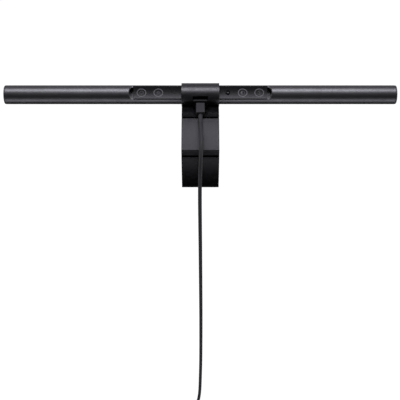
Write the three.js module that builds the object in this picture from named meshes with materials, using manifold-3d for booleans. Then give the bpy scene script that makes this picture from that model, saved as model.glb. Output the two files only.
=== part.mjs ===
// A clip-on light bar for the top edge of a monitor: a round aluminium lamp that tilts in the ring of
// a clip, and a hinged counterweight that presses on the back of the screen. Lengths are in millimetres.
//
// World frame: X runs along the bar, +Y points to the back of the screen, +Z is up, and the origin is
// the middle of the seat pad's underside. The pieces are drawn around the lamp's own axis, and one
// group then moves them all to the world frame.

import * as THREE from 'three';
import { mergeVertices } from 'three/addons/utils/BufferGeometryUtils.js';
import Module from 'manifold-3d';

const wasm = await Module();
wasm.setup();

// ---------------------------------------------------------------- driving dimensions

const GAP = 0.3; // clearance between pieces that touch or nest

// Lamp
const BAR_LENGTH = 450;
const TUBE_RADIUS = 10.8;
const TUBE_WALL = 1.2;
const PANEL_TURN = THREE.MathUtils.degToRad(-30); // from straight up, towards the back
const CAP_THICKNESS = 1.6;
const CAP_SPIGOT = 5;
const WINDOW_HALF = 6; // half width of the light window under the tube
const FLAT_HEIGHT = 7.7; // control flat above the lamp axis
const PANEL_HALF_LENGTH = 76.6;
const PANEL_THICKNESS = 1.05;
const RAMP_END = 82; // where the milled ramp at each end of the flat meets the round surface
const KEY_PLACES = [67.4, 48.1, -48.4, -67.4];
const KEY_WIDTH = 11;
const KEY_HEIGHT = 9.8;
const KEY_LINE = 0.9;
const KEY_DEPTH = 0.55;
const SENSOR_X = -31.5;
const SENSOR_RADIUS = 3.2;
const DOME_RADIUS = 6.1; // the light sensor's domed face
const DOME_DROP = 5; // from the flat down to the middle of the dome's curve
const LEDS_PER_SIDE = 16;

// Clip
const CLIP_WIDTH = 42.6;
const RING_WIDTH = 43.2;
const RING_RADIUS = 13.3;
const RING_BORE = 11.9;
const LINER_BORE = 11.05;
const ARM_TOP = -6;
const ARM_BOTTOM = -15.2;
const ARM_END = 30.3;
const SEAT_Y = 15; // middle of the seat pad behind the lamp axis
const SEAT_Z = -17; // underside of the seat pad below the lamp axis
const SEAT_LENGTH = 18;
const LIP_PAD_Y = 4;
const LIP_BOTTOM = -28;
const PORT_HALF_WIDTH = 8;

// Hinge and counterweight
const HINGE_Y = 31;
const HINGE_Z = -11;
const PIN_RADIUS = 1.5;
const BUSH_RADIUS = 2.2;
const KNUCKLE_RADIUS = 3.2;
const HINGE_SWEEP = 3.6; // room that the pieces around the hinge leave for its knuckles
const ARM_KNUCKLE_HALF = 6;
const SIDE_KNUCKLE_START = 13;
const COVER_FRONT_Y = 32.5;
const COVER_REAR_Y = 73;
const COVER_REAR_Z = -17.7;
const COVER_SKIRT = 9.3;
const COVER_WALL = 1.6;
const SHELL_WALL = 2;
const TOE_Y = 15.3;
const BODY_BOTTOM = -79;

// Lead
const CORD_DIAMETER = 4.4;
const CORD_SIDES = 8;
const CORD_STEPS = 60;
const PLUG_Z = -1.4; // axis of the plug in the clip
const PLUG_HEIGHT = 7.2;
const CORD_EXIT_Z = -2.6; // the lead leaves the plug below its middle
const COIL_MEAN_RADIUS = 24;
const COIL_LAYERS = 2;
const COIL_ROWS = 3;
const HANG_Y = 100; // how far behind the lamp axis the lead hangs
const COIL_Y = HANG_Y + CORD_DIAMETER; // the lead joins the coil in the row nearest the screen
const COIL_Z = -570;

// The stretch of lead from the plug's strain relief down to the coil, as points (x, y, z) around the
// lamp axis.
const CORD_ROUTE = [
  [0, 45.3, CORD_EXIT_Z],
  [-0.3, 50, -2.6],
  [-0.8, 58, -2.65],
  [-1.1, 66, -2.9],
  [-1.1, 74, -4],
  [-0.8, 82, -7.6],
  [-0.4, 90, -15],
  [0, 95.8, -25.4],
  [0.3, 98.8, -37.6],
  [0.5, 99.8, -52.5],
  [0.5, 100, -75],
  [0.3, 100, -110],
  [0, 100, -150],
  [-0.3, 100, -200],
  [-0.6, 100, -255],
  [-0.8, 100, -310],
  [-0.8, 100, -365],
  [-0.6, 100, -415],
  [0, 100, -460],
  [0.8, 100, -495],
  [2.6, 100, -518],
  [5.4, 100, -532],
  [8.8, 100, -539.8],
];

// ---------------------------------------------------------------- geometry helpers

const point = (y, z) => new THREE.Vector2(y, z);

// Points on an arc around (y, z), from one angle to another in degrees, both ends included.
function arc(y, z, radius, from, to, steps) {
  const points = [];
  for (let i = 0; i <= steps; i += 1) {
    const angle = THREE.MathUtils.degToRad(from + ((to - from) * i) / steps);
    points.push(point(y + radius * Math.cos(angle), z + radius * Math.sin(angle)));
  }
  return points;
}

// An outline from [y, z] or [y, z, radius] corners; a corner with a radius is rounded.
function outline(corners, steps = 3) {
  const points = [];
  corners.forEach(([y, z, radius = 0], i) => {
    const corner = point(y, z);
    if (radius === 0) {
      points.push(corner);
      return;
    }
    const before = corners[(i + corners.length - 1) % corners.length];
    const after = corners[(i + 1) % corners.length];
    const start = point(before[0], before[1]).sub(corner).setLength(radius).add(corner);
    const end = point(after[0], after[1]).sub(corner).setLength(radius).add(corner);
    const bend = new THREE.QuadraticBezierCurve(start, corner, end);
    points.push(...bend.getPoints(steps));
  });
  return points;
}

// A section drawn in the YZ plane and extruded along X.
function alongX(points, x0, x1, holes = []) {
  const shape = new THREE.Shape(points);
  shape.holes = holes.map((hole) => new THREE.Path(hole));
  const geometry = new THREE.ExtrudeGeometry(shape, { depth: x1 - x0, bevelEnabled: false });
  const turn = new THREE.Matrix4().makeBasis(
    new THREE.Vector3(0, 1, 0),
    new THREE.Vector3(0, 0, 1),
    new THREE.Vector3(1, 0, 0),
  );
  geometry.applyMatrix4(turn);
  geometry.translate(x0, 0, 0);
  return geometry;
}

// A section drawn in the XZ plane and extruded along Y.
function alongY(points, y0, y1, holes = []) {
  const shape = new THREE.Shape(points);
  shape.holes = holes.map((hole) => new THREE.Path(hole));
  const geometry = new THREE.ExtrudeGeometry(shape, { depth: y1 - y0, bevelEnabled: false });
  geometry.rotateX(Math.PI / 2);
  geometry.translate(0, y1, 0);
  return geometry;
}

// A box between two corners.
function box(x0, x1, y0, y1, z0, z1) {
  const geometry = new THREE.BoxGeometry(x1 - x0, y1 - y0, z1 - z0);
  geometry.translate((x0 + x1) / 2, (y0 + y1) / 2, (z0 + z1) / 2);
  return geometry;
}

// A rectangle with rounded corners, centred on (a, b).
function roundedRectangle(a, b, width, height, radius, steps = 3) {
  return outline([
    [a - width / 2, b - height / 2, radius],
    [a + width / 2, b - height / 2, radius],
    [a + width / 2, b + height / 2, radius],
    [a - width / 2, b + height / 2, radius],
  ], steps);
}

// A round bar along X at (y, z).
function rodX(radius, x0, x1, y, z, sides = 20) {
  const geometry = new THREE.CylinderGeometry(radius, radius, x1 - x0, sides);
  geometry.rotateZ(-Math.PI / 2);
  geometry.translate((x0 + x1) / 2, y, z);
  return geometry;
}

// A round bar along Z at (x, y).
function rodZ(radius, x, y, z0, z1, sides = 20) {
  const geometry = new THREE.CylinderGeometry(radius, radius, z1 - z0, sides);
  geometry.rotateX(Math.PI / 2);
  geometry.translate(x, y, (z0 + z1) / 2);
  return geometry;
}

// A turned piece around the X axis, from [x, radius] points that start and end on the axis.
function turnedX(profile, sides = 36) {
  const points = profile.map(([x, radius]) => new THREE.Vector2(radius, x));
  const geometry = new THREE.LatheGeometry(points, sides);
  geometry.rotateZ(-Math.PI / 2);
  return geometry;
}

// A round section swept along a curve.
function swept(curve, radius, sides, steps) {
  const section = new THREE.Shape(arc(0, 0, radius, 0, 360 - 360 / sides, sides - 1));
  return new THREE.ExtrudeGeometry(section, { steps, extrudePath: curve, bevelEnabled: false });
}

function toSolid(shape) {
  if (!shape.isBufferGeometry) {
    return shape;
  }
  const bare = shape.clone();
  bare.deleteAttribute('normal');
  bare.deleteAttribute('uv');
  const merged = mergeVertices(bare, 1e-4);
  return new wasm.Manifold(new wasm.Mesh({
    numProp: 3,
    vertProperties: new Float32Array(merged.attributes.position.array),
    triVerts: new Uint32Array(merged.index.array),
  }));
}

function toGeometry(solid) {
  const mesh = solid.getMesh();
  const geometry = new THREE.BufferGeometry();
  geometry.setAttribute('position', new THREE.BufferAttribute(mesh.vertProperties, 3));
  geometry.setIndex(new THREE.BufferAttribute(mesh.triVerts, 1));
  return geometry;
}

// Joins the shapes in the first list and cuts away those in the second.
function carveSolid(joined, cut = []) {
  let solid = toSolid(joined[0]);
  joined.slice(1).forEach((shape) => {
    solid = solid.add(toSolid(shape));
  });
  cut.forEach((shape) => {
    solid = solid.subtract(toSolid(shape));
  });
  return solid;
}

const carve = (joined, cut) => toGeometry(carveSolid(joined, cut));

// ---------------------------------------------------------------- materials

const finish = (color, roughness, metalness) => ({ color, roughness, metalness });

const FINISHES = {
  anodised: finish(0x2a2a2c, 0.42, 0.85),
  matteBlack: finish(0x202123, 0.6, 0),
  paintedBlack: finish(0x3a3b3d, 0.65, 0),
  panelBlack: finish(0x141416, 0.35, 0),
  rubber: finish(0x26272a, 0.85, 0),
  silicone: finish(0x55575a, 0.8, 0),
  steel: finish(0xb4b6b8, 0.3, 1),
  springSteel: finish(0x8e9094, 0.3, 1),
  diffuser: finish(0xf2f2ee, 0.5, 0),
  whitePlastic: finish(0xf6f6f2, 0.7, 0),
  board: finish(0x1d5c38, 0.55, 0),
  keyLine: finish(0x9a9c9e, 0.5, 0),
  lens: finish(0x0b0b0d, 0.1, 0),
  cordJacket: finish(0x1a1a1c, 0.6, 0),
};

function piece(name, geometry, finishName, parent) {
  const mesh = new THREE.Mesh(geometry, new THREE.MeshStandardMaterial(FINISHES[finishName]));
  mesh.name = name;
  parent.add(mesh);
  return mesh;
}

// ---------------------------------------------------------------- groups

const lightBar = new THREE.Group();
lightBar.position.set(0, -SEAT_Y, -SEAT_Z);

const lamp = new THREE.Group(); // its +Z is the control panel's normal
lamp.rotation.x = PANEL_TURN;
lightBar.add(lamp);

const hinge = new THREE.Group(); // its X axis is the counterweight's hinge pin
hinge.position.set(0, HINGE_Y, HINGE_Z);
lightBar.add(hinge);

// ---------------------------------------------------------------- lamp: tube and end caps

const angleAt = (radius, side) => THREE.MathUtils.radToDeg(Math.acos(side / radius));
const heightAt = (radius, side) => Math.sqrt(radius * radius - side * side);

const TUBE_BORE = TUBE_RADIUS - TUBE_WALL;
const WEB_TOP = -0.6; // the web divides the wiring space above from the light channel below
const WEB_BOTTOM = WEB_TOP - TUBE_WALL;
const TUBE_END = BAR_LENGTH / 2 - CAP_THICKNESS - GAP;

function tubeSection() {
  const outer = angleAt(TUBE_RADIUS, WINDOW_HALF);
  const inner = angleAt(TUBE_BORE, WINDOW_HALF);
  const web = THREE.MathUtils.radToDeg(Math.asin(-WEB_BOTTOM / TUBE_BORE));
  return [
    ...arc(0, 0, TUBE_RADIUS, -outer, 180 + outer, 40),
    ...arc(0, 0, TUBE_BORE, 180 + inner, 180 + web, 5),
    ...arc(0, 0, TUBE_BORE, -web, -inner, 5),
  ];
}

function wiringSpace() {
  const edge = THREE.MathUtils.radToDeg(Math.asin(-WEB_TOP / TUBE_BORE));
  return arc(0, 0, TUBE_BORE, -edge, 180 + edge, 24);
}

// The milled flat that the panel lies in, with a ramp up to the round surface at each end.
function controlMilling() {
  const bed = FLAT_HEIGHT - PANEL_THICKNESS - GAP;
  const end = PANEL_HALF_LENGTH + GAP;
  const above = TUBE_RADIUS + 1;
  const slope = (TUBE_RADIUS - FLAT_HEIGHT) / (RAMP_END - end);
  const far = RAMP_END + (above - TUBE_RADIUS) / slope;
  const section = outline([
    [-end, bed], [end, bed], [end, FLAT_HEIGHT], [far, above], [-far, above], [-end, FLAT_HEIGHT],
  ]);
  return alongY(section, -TUBE_RADIUS - 1, TUBE_RADIUS + 1);
}

piece(
  'lamp_tube',
  carve([alongX(tubeSection(), -TUBE_END, TUBE_END, [wiringSpace()])], [controlMilling()]),
  'anodised',
  lamp,
);

function endCap(side) {
  const face = BAR_LENGTH / 2;
  const back = face - CAP_THICKNESS;
  const disc = turnedX([
    [back, 0], [back, TUBE_RADIUS], [face - 0.5, TUBE_RADIUS], [face, TUBE_RADIUS - 0.5], [face, 0],
  ], 40);
  const spigotRadius = TUBE_BORE - GAP;
  const edge = THREE.MathUtils.radToDeg(Math.asin(GAP / spigotRadius));
  const spigot = alongX(arc(0, 0, spigotRadius, edge, 180 - edge, 16), back - CAP_SPIGOT, back + 0.5);
  const hollow = alongX(
    arc(0, 0, spigotRadius - 1.5, 14, 166, 10),
    back - CAP_SPIGOT - 1,
    back - 0.5,
  );
  const cap = carve([disc, spigot], [hollow]);
  if (side < 0) {
    cap.rotateZ(Math.PI);
    cap.scale(1, -1, 1);
    flipFaces(cap);
  }
  return cap;
}

// Turns every face the other way, after a mirroring scale.
function flipFaces(geometry) {
  const index = geometry.index.array;
  for (let i = 0; i < index.length; i += 3) {
    const first = index[i];
    index[i] = index[i + 1];
    index[i + 1] = first;
  }
}

piece('end_cap_right', endCap(1), 'matteBlack', lamp);
piece('end_cap_left', endCap(-1), 'matteBlack', lamp);

// ---------------------------------------------------------------- lamp: control panel

const PANEL_BOTTOM = FLAT_HEIGHT - PANEL_THICKNESS;

// An upright oval bar through the panel's thickness.
function oval(x, width, height, z0, z1, sides = 24) {
  const geometry = rodZ(1, 0, 0, z0, z1, sides);
  geometry.scale(width / 2, height / 2, 1);
  geometry.translate(x, 0, 0);
  return geometry;
}

function keyRing(x, slack) {
  const top = FLAT_HEIGHT + (slack > 0 ? 1 : 0);
  const bottom = FLAT_HEIGHT - KEY_DEPTH - slack;
  const hole = 2 * (KEY_LINE + slack);
  return carve(
    [oval(x, KEY_WIDTH + 2 * slack, KEY_HEIGHT + 2 * slack, bottom, top)],
    [oval(x, KEY_WIDTH - hole, KEY_HEIGHT - hole, bottom - 1, top + 1)],
  );
}

function controlPanel() {
  const rim = TUBE_RADIUS - 0.15;
  const section = [
    point(heightAt(rim, PANEL_BOTTOM), PANEL_BOTTOM),
    point(heightAt(rim, FLAT_HEIGHT), FLAT_HEIGHT),
    point(-heightAt(rim, FLAT_HEIGHT), FLAT_HEIGHT),
    point(-heightAt(rim, PANEL_BOTTOM), PANEL_BOTTOM),
  ];
  const plate = alongX(section, -PANEL_HALF_LENGTH, PANEL_HALF_LENGTH);
  const sensorHole = rodZ(SENSOR_RADIUS + GAP, SENSOR_X, 0, PANEL_BOTTOM - 1, FLAT_HEIGHT + 1);
  const grooves = KEY_PLACES.map((x) => keyRing(x, 0.1));
  return carve([plate], [sensorHole, ...grooves]);
}

piece('control_panel', controlPanel(), 'panelBlack', lamp);
KEY_PLACES.forEach((x, i) => {
  piece(`key_ring_${i + 1}`, keyRing(x, 0), 'keyLine', lamp);
});

const BOARD_TOP = 5.6; // top of the touch board

function sensorLens() {
  const points = [
    point(0, BOARD_TOP + 0.7),
    point(SENSOR_RADIUS, BOARD_TOP + 0.7),
    point(SENSOR_RADIUS, FLAT_HEIGHT),
    ...arc(0, FLAT_HEIGHT - DOME_DROP, DOME_RADIUS, 57, 90, 5).slice(1),
  ];
  points[points.length - 1].x = 0;
  const geometry = new THREE.LatheGeometry(points, 20);
  geometry.rotateX(Math.PI / 2);
  geometry.translate(SENSOR_X, 0, 0);
  return geometry;
}

piece('light_sensor_lens', sensorLens(), 'lens', lamp);

function touchBoard() {
  const board = box(-73, 73, -5.2, 5.2, BOARD_TOP - 1, BOARD_TOP);
  const pads = KEY_PLACES.map((x) => (
    oval(x, KEY_WIDTH - 3, KEY_HEIGHT - 3, BOARD_TOP - 0.5, BOARD_TOP + 0.6, 12)
  ));
  const sensorChip = box(SENSOR_X - 1.5, SENSOR_X + 1.5, -1.2, 1.2, BOARD_TOP - 0.5, BOARD_TOP + 0.4);
  const controller = box(-2.5, 2.5, -2.5, 2.5, BOARD_TOP - 1.9, BOARD_TOP - 0.5);
  return carve([board, ...pads, sensorChip, controller]);
}

piece('touch_board', touchBoard(), 'board', lamp);

// ---------------------------------------------------------------- lamp: electronics and optics

function driverBoard() {
  const bottom = WEB_TOP + 1;
  const top = bottom + 1.2;
  const board = box(-58, 58, -7, 7, bottom, top);
  const inductor = box(-44, -37, -3.5, 3.5, top - 0.3, top + 2.2);
  const smallInductor = box(36, 42, -3, 3, top - 0.3, top + 2);
  const capacitors = [-28, -22, 22, 28].map((x) => rodZ(2, x, 0, top - 0.3, top + 2.1, 12));
  const chips = [-12, 12].map((x) => box(x - 2.5, x + 2.5, -2, 2, top - 0.3, top + 1));
  const sockets = [-53, 53].map((x) => box(x - 2.5, x + 2.5, -3, 3, top - 0.3, top + 2));
  return carve([board, inductor, smallInductor, ...capacitors, ...chips, ...sockets]);
}

piece('driver_board', driverBoard(), 'board', lamp);

const LIGHT_START = RING_WIDTH / 2 + 1;
const LIGHT_END = TUBE_END - 1;
const LED_BOARD_TOP = WEB_BOTTOM - GAP;
const LED_BOARD_BOTTOM = LED_BOARD_TOP - 1;

function ledBoard(x0, x1) {
  const board = box(x0, x1, -5.5, 5.5, LED_BOARD_BOTTOM, LED_BOARD_TOP);
  const step = (x1 - x0) / LEDS_PER_SIDE;
  const leds = [];
  for (let i = 0; i < LEDS_PER_SIDE; i += 1) {
    const x = x0 + (i + 0.5) * step;
    leds.push(box(x - 1.4, x + 1.4, -1.4, 1.4, LED_BOARD_BOTTOM - 0.6, LED_BOARD_BOTTOM + 0.3));
  }
  return carve([board, ...leds]);
}

// Two sloping white walls beside the row of LEDs, joined by a cross wall at each end.
function reflector(x0, x1) {
  const top = LED_BOARD_BOTTOM - GAP;
  const bottom = -5.6;
  const wall = (side) => {
    const section = outline([[2.4, top], [3.4, top], [6.9, bottom], [5.9, bottom]]);
    const points = section.map((p) => point(p.x * side, p.y));
    return alongX(points, x0, x1);
  };
  const crossSection = outline([[-2.9, top], [2.9, top], [6.4, bottom], [-6.4, bottom]]);
  return carve([
    wall(1), wall(-1), alongX(crossSection, x0, x0 + 1), alongX(crossSection, x1 - 1, x1),
  ]);
}

function diffuser(x0, x1) {
  const skin = TUBE_RADIUS - 0.15;
  const half = WINDOW_HALF - GAP;
  const shoulder = TUBE_BORE - 0.25;
  const spread = angleAt(skin, half);
  const inside = angleAt(8.6, 5.2);
  return alongX([
    ...arc(0, 0, skin, 180 + spread, 360 - spread, 8),
    point(half, -heightAt(shoulder, half)),
    point(6.7, -heightAt(shoulder, 6.7)),
    point(6.7, -5.9),
    point(6.2, -5.9),
    ...arc(0, 0, 8.6, 360 - inside, 180 + inside, 8),
    point(-6.2, -5.9),
    point(-6.7, -5.9),
    point(-6.7, -heightAt(shoulder, 6.7)),
    point(-half, -heightAt(shoulder, half)),
  ], x0, x1);
}

[['right', LIGHT_START, LIGHT_END], ['left', -LIGHT_END, -LIGHT_START]].forEach(([side, x0, x1]) => {
  piece(`led_board_${side}`, ledBoard(x0, x1), 'board', lamp);
  piece(`reflector_${side}`, reflector(x0, x1), 'whitePlastic', lamp);
  piece(`diffuser_${side}`, diffuser(x0, x1), 'diffuser', lamp);
});

// ---------------------------------------------------------------- clip

const HALF = CLIP_WIDTH / 2;
const WINDOW_TOP = 7.6; // the window at the back of the ring, around the power port

function clipFrame() {
  const ring = rodX(RING_RADIUS, -RING_WIDTH / 2, RING_WIDTH / 2, 0, 0, 48);
  const arm = alongX(outline([
    [-9, -7], [-8, -11, 2], [-1.6, -14.6, 2], [-1.3, LIP_BOTTOM, 1.2], [2.4, LIP_BOTTOM, 1.2],
    [2.4, ARM_BOTTOM, 0.8], [25.5, ARM_BOTTOM, 1.5], [25.5, ARM_TOP - 1.2],
    [ARM_END, ARM_TOP - 1.2], [ARM_END, ARM_TOP], [11, ARM_TOP], [0, 0],
  ]), -HALF, HALF);
  const knuckle = rodX(KNUCKLE_RADIUS, -ARM_KNUCKLE_HALF, ARM_KNUCKLE_HALF, HINGE_Y, HINGE_Z, 24);
  const knuckleRoot = box(
    -ARM_KNUCKLE_HALF, ARM_KNUCKLE_HALF, 24, HINGE_Y, HINGE_Z - KNUCKLE_RADIUS, ARM_TOP - 0.5,
  );
  const bore = rodX(RING_BORE, -RING_WIDTH, RING_WIDTH, 0, 0, 48);
  const pinBore = rodX(BUSH_RADIUS + 0.2, -ARM_KNUCKLE_HALF - 1, ARM_KNUCKLE_HALF + 1, HINGE_Y, HINGE_Z);
  const half = PORT_HALF_WIDTH + 0.6;
  const portWindow = box(-half, half, 8, 20, ARM_TOP - 0.8, WINDOW_TOP);
  const plugRecess = box(-half, half, 12, 19.3, ARM_TOP - 1.2, ARM_TOP + 2);
  return carve([ring, arm, knuckle, knuckleRoot], [bore, pinBore, portWindow, plugRecess]);
}

piece('clip_frame', clipFrame(), 'matteBlack', lightBar);

const linerOutline = [
  ...arc(0, 0, RING_BORE - 0.25, 50, 320, 30),
  ...arc(0, 0, LINER_BORE, 320, 50, 30),
];
piece('friction_liner', alongX(linerOutline, -20, 20), 'whitePlastic', lightBar);

const padTop = ARM_BOTTOM - GAP;
const padOutline = roundedRectangle(
  SEAT_Y, (SEAT_Z + padTop) / 2, SEAT_LENGTH, padTop - SEAT_Z, 0.4, 2,
);
piece('seat_pad', alongX(padOutline, -17, 17), 'silicone', lightBar);

const lipOutline = roundedRectangle(LIP_PAD_Y - 0.65, -22, 1.3, 9.4, 0.35, 2);
piece('lip_pad', alongX(lipOutline, -17, 17), 'silicone', lightBar);

// ---------------------------------------------------------------- power port

const PORT_FRONT = 11.2;
const PORT_MOUTH = 15.5;
const PORT_TOP = 4.5;
const PORT_FLOOR = ARM_TOP - 0.8 + GAP;

function portBlock() {
  const outer = alongY(
    roundedRectangle(0, (PORT_TOP + PORT_FLOOR) / 2, 2 * PORT_HALF_WIDTH, PORT_TOP - PORT_FLOOR, 0.8, 2),
    PORT_FRONT,
    PORT_MOUTH,
  );
  const hollow = box(-6.6, 6.6, PORT_FRONT + 1, PORT_MOUTH - 1, PORT_FLOOR - 1, 3.2);
  const mouth = alongY(roundedRectangle(0, PLUG_Z, 10.2, 4.4, 1.9), PORT_MOUTH - 2, PORT_MOUTH + 1);
  return carve([outer], [hollow, mouth]);
}

function portShell() {
  const outer = alongY(roundedRectangle(0, PLUG_Z, 9.6, 3.8, 1.7), PORT_FRONT + 1.2, PORT_MOUTH - 0.1);
  const inner = alongY(roundedRectangle(0, PLUG_Z, 8.9, 3.1, 1.4), PORT_FRONT + 1.5, PORT_MOUTH + 1);
  return carve([outer], [inner]);
}

piece('port_block', portBlock(), 'matteBlack', lightBar);
piece('usb_port_shell', portShell(), 'steel', lightBar);
piece('port_board', box(-6, 6, PORT_FRONT + 1.1, PORT_MOUTH - 1.1, -4.5, -3.7), 'board', lightBar);

// ---------------------------------------------------------------- hinge

piece('hinge_pin', rodX(PIN_RADIUS, -20.2, 20.2, 0, 0, 16), 'steel', hinge);

const bushEnd = ARM_KNUCKLE_HALF - 0.1;
piece(
  'hinge_bush',
  carve([rodX(BUSH_RADIUS, -bushEnd, bushEnd, 0, 0, 20)], [rodX(PIN_RADIUS + 0.25, -9, 9, 0, 0, 20)]),
  'whitePlastic',
  hinge,
);

// A coil spring around the pin, with a leg forward to the arm.
function torsionSpring(side) {
  const start = ARM_KNUCKLE_HALF + 0.9;
  const turns = 4;
  const coilRadius = 2.3;
  const points = [];
  points.push(new THREE.Vector3(start * side, -4.4, 2.4));
  for (let i = 0; i <= turns * 10; i += 1) {
    const angle = Math.PI / 2 + (i / 10) * 2 * Math.PI;
    const x = start + (i / (turns * 10)) * 4.6;
    points.push(new THREE.Vector3(x * side, coilRadius * Math.cos(angle), coilRadius * Math.sin(angle)));
  }
  const curve = new THREE.CatmullRomCurve3(points);
  return swept(curve, 0.35, 6, 56);
}

piece('torsion_spring_right', torsionSpring(1), 'springSteel', hinge);
piece('torsion_spring_left', torsionSpring(-1), 'springSteel', hinge);

// ---------------------------------------------------------------- counterweight

const coverLine = (y) => {
  const slope = (COVER_REAR_Z - ARM_TOP) / (COVER_REAR_Y - COVER_FRONT_Y);
  return ARM_TOP + (y - COVER_FRONT_Y) * slope;
};
const underCover = (y) => coverLine(y) - COVER_WALL - GAP;
const skirtBottom = COVER_REAR_Z - COVER_SKIRT;

function counterweightCover() {
  const top = alongX(outline([
    [COVER_FRONT_Y, ARM_TOP - COVER_WALL], [COVER_FRONT_Y, ARM_TOP, 0.8],
    [COVER_REAR_Y, COVER_REAR_Z, 1], [COVER_REAR_Y, skirtBottom], [COVER_FRONT_Y, ARM_TOP - 6],
  ]), -HALF, HALF);
  const inner = outline([
    [COVER_FRONT_Y - 2, coverLine(COVER_FRONT_Y - 2) - COVER_WALL],
    [71.5, coverLine(71.5) - COVER_WALL], [71.5, skirtBottom - 1], [COVER_FRONT_Y - 2, skirtBottom - 1],
  ]);
  return carve([top], [alongX(inner, -HALF + 1.5, HALF - 1.5)]);
}

piece('counterweight_cover', counterweightCover(), 'paintedBlack', lightBar);

const ledge = skirtBottom - 0.5;
const BODY_OUTLINE = [
  [71.2, ledge], [73.4, ledge, 0.3], [74, ledge - 1, 0.5], [74.2, -45], [73.8, -62],
  [72.6, BODY_BOTTOM, 2], [20.6, BODY_BOTTOM + 2, 2.5], [TOE_Y, -74.5, 2], [TOE_Y, -57, 2],
  [24, -50, 6], [33, -38, 8], [36, -24, 5], [32.9, -15, 1], [32.9, coverLine(33) - 6.6],
];
const BODY_CAVITY = [
  [36.2, -2], [69, -2], [70.6, -76, 3], [21, -75, 3], [TOE_Y + 2, -73, 1], [TOE_Y + 2, -58, 1],
  [25.4, -51.6, 6], [35, -39, 8], [38.2, -24, 5], [36.2, -15, 2],
];
const WEIGHT_OUTLINE = [
  [42, -40, 1.5], [68.8, -40, 1.5], [70, -75.6, 2.4], [38, -74.9, 1.5], [38, -46, 1.5],
];
const WEIGHT_SCREWS_X = 11;
const WEIGHT_SCREWS_Y = 54;

function counterweightBody() {
  const lower = alongX(outline(BODY_OUTLINE), -HALF, HALF);
  const upper = alongX(outline([
    [33.4, underCover(33.4)], [71.2, underCover(71.2)], [71.2, ledge - 2], [33.4, -20],
  ]), -HALF + 1.8, HALF - 1.8);
  const knuckles = [];
  [-1, 1].forEach((side) => {
    const ends = [SIDE_KNUCKLE_START * side, (HALF - 1.9) * side].sort((a, b) => a - b);
    knuckles.push(rodX(KNUCKLE_RADIUS, ends[0], ends[1], HINGE_Y, HINGE_Z, 20));
    knuckles.push(alongX(outline([
      [HINGE_Y, HINGE_Z - KNUCKLE_RADIUS + 0.1], [35, -16], [35, underCover(35)],
      [HINGE_Y, HINGE_Z + 2],
    ]), ends[0], ends[1]));
  });
  const rib = box(-HALF, HALF, 36.2, 37.6, BODY_BOTTOM, -48);
  const cavityHalf = HALF - 1.8 - SHELL_WALL;
  const cavity = carveSolid([alongX(outline(BODY_CAVITY), -cavityHalf, cavityHalf)], [rib]);
  const sweep = SIDE_KNUCKLE_START - GAP;
  const hingeRoom = rodX(HINGE_SWEEP, -sweep, sweep, HINGE_Y, HINGE_Z, 24);
  const pinHole = rodX(PIN_RADIUS + 0.25, -HALF, HALF, HINGE_Y, HINGE_Z, 16);
  const screwHoles = [-1, 1].flatMap((side) => [
    rodZ(1.8, WEIGHT_SCREWS_X * side, WEIGHT_SCREWS_Y, BODY_BOTTOM - 1, -70, 12),
    rodZ(3.1, WEIGHT_SCREWS_X * side, WEIGHT_SCREWS_Y, BODY_BOTTOM - 1, BODY_BOTTOM + 2, 16),
  ]);
  return carve([lower, upper, ...knuckles], [cavity, hingeRoom, pinHole, ...screwHoles]);
}

function weightBlock() {
  const bores = [-1, 1].map((side) => (
    rodZ(1.7, WEIGHT_SCREWS_X * side, WEIGHT_SCREWS_Y, -80, -64, 12)
  ));
  return carve([alongX(outline(WEIGHT_OUTLINE), -16.5, 16.5)], bores);
}

function weightScrew(side) {
  const head = rodZ(2.7, 0, 0, BODY_BOTTOM + 0.3, BODY_BOTTOM + 1.7, 16);
  const shank = rodZ(1.4, 0, 0, BODY_BOTTOM + 1, -65, 12);
  const socket = rodZ(1.2, 0, 0, BODY_BOTTOM, BODY_BOTTOM + 1, 6);
  const screw = carve([head, shank], [socket]);
  screw.translate(WEIGHT_SCREWS_X * side, WEIGHT_SCREWS_Y, 0);
  return screw;
}

piece('counterweight_body', counterweightBody(), 'matteBlack', lightBar);
piece('weight_block', weightBlock(), 'steel', lightBar);
piece('weight_screw_right', weightScrew(1), 'steel', lightBar);
piece('weight_screw_left', weightScrew(-1), 'steel', lightBar);

const toePadOutline = roundedRectangle(TOE_Y - GAP - 0.5, -66, 1, 16, 0.3, 2);
piece('toe_pad', alongX(toePadOutline, -15, 15), 'silicone', lightBar);

// ---------------------------------------------------------------- lead

const PLUG_FRONT = PORT_MOUTH + GAP;
const PLUG_BACK = 31.4;

piece(
  'plug_tip',
  alongY(roundedRectangle(0, PLUG_Z, 8.2, 2.5, 1.1), PORT_FRONT + 1.9, PORT_MOUTH),
  'steel',
  lightBar,
);
piece(
  'plug_device',
  alongY(roundedRectangle(0, PLUG_Z, 10, PLUG_HEIGHT, 1.4), PLUG_FRONT, PLUG_BACK),
  'cordJacket',
  lightBar,
);

// A tapered sleeve along Y, from its wide end to its narrow end.
function sleeve(y0, y1, wide, narrow) {
  const geometry = new THREE.CylinderGeometry(narrow, wide, y1 - y0, 16);
  geometry.translate(0, (y0 + y1) / 2, 0);
  return geometry;
}

const reliefDevice = sleeve(PLUG_BACK + GAP, CORD_ROUTE[0][1] - GAP, 2.55, 2.35);
reliefDevice.translate(0, 0, CORD_EXIT_Z);
piece('strain_relief_device', reliefDevice, 'cordJacket', lightBar);

const cordCurve = new THREE.CatmullRomCurve3(CORD_ROUTE.map(([x, y, z]) => new THREE.Vector3(x, y, z)));
piece('cord_run', swept(cordCurve, CORD_DIAMETER / 2, CORD_SIDES, CORD_STEPS), 'cordJacket', lightBar);

const coil = new THREE.Group();
coil.position.set(0, COIL_Y, COIL_Z);
lightBar.add(coil);

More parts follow.
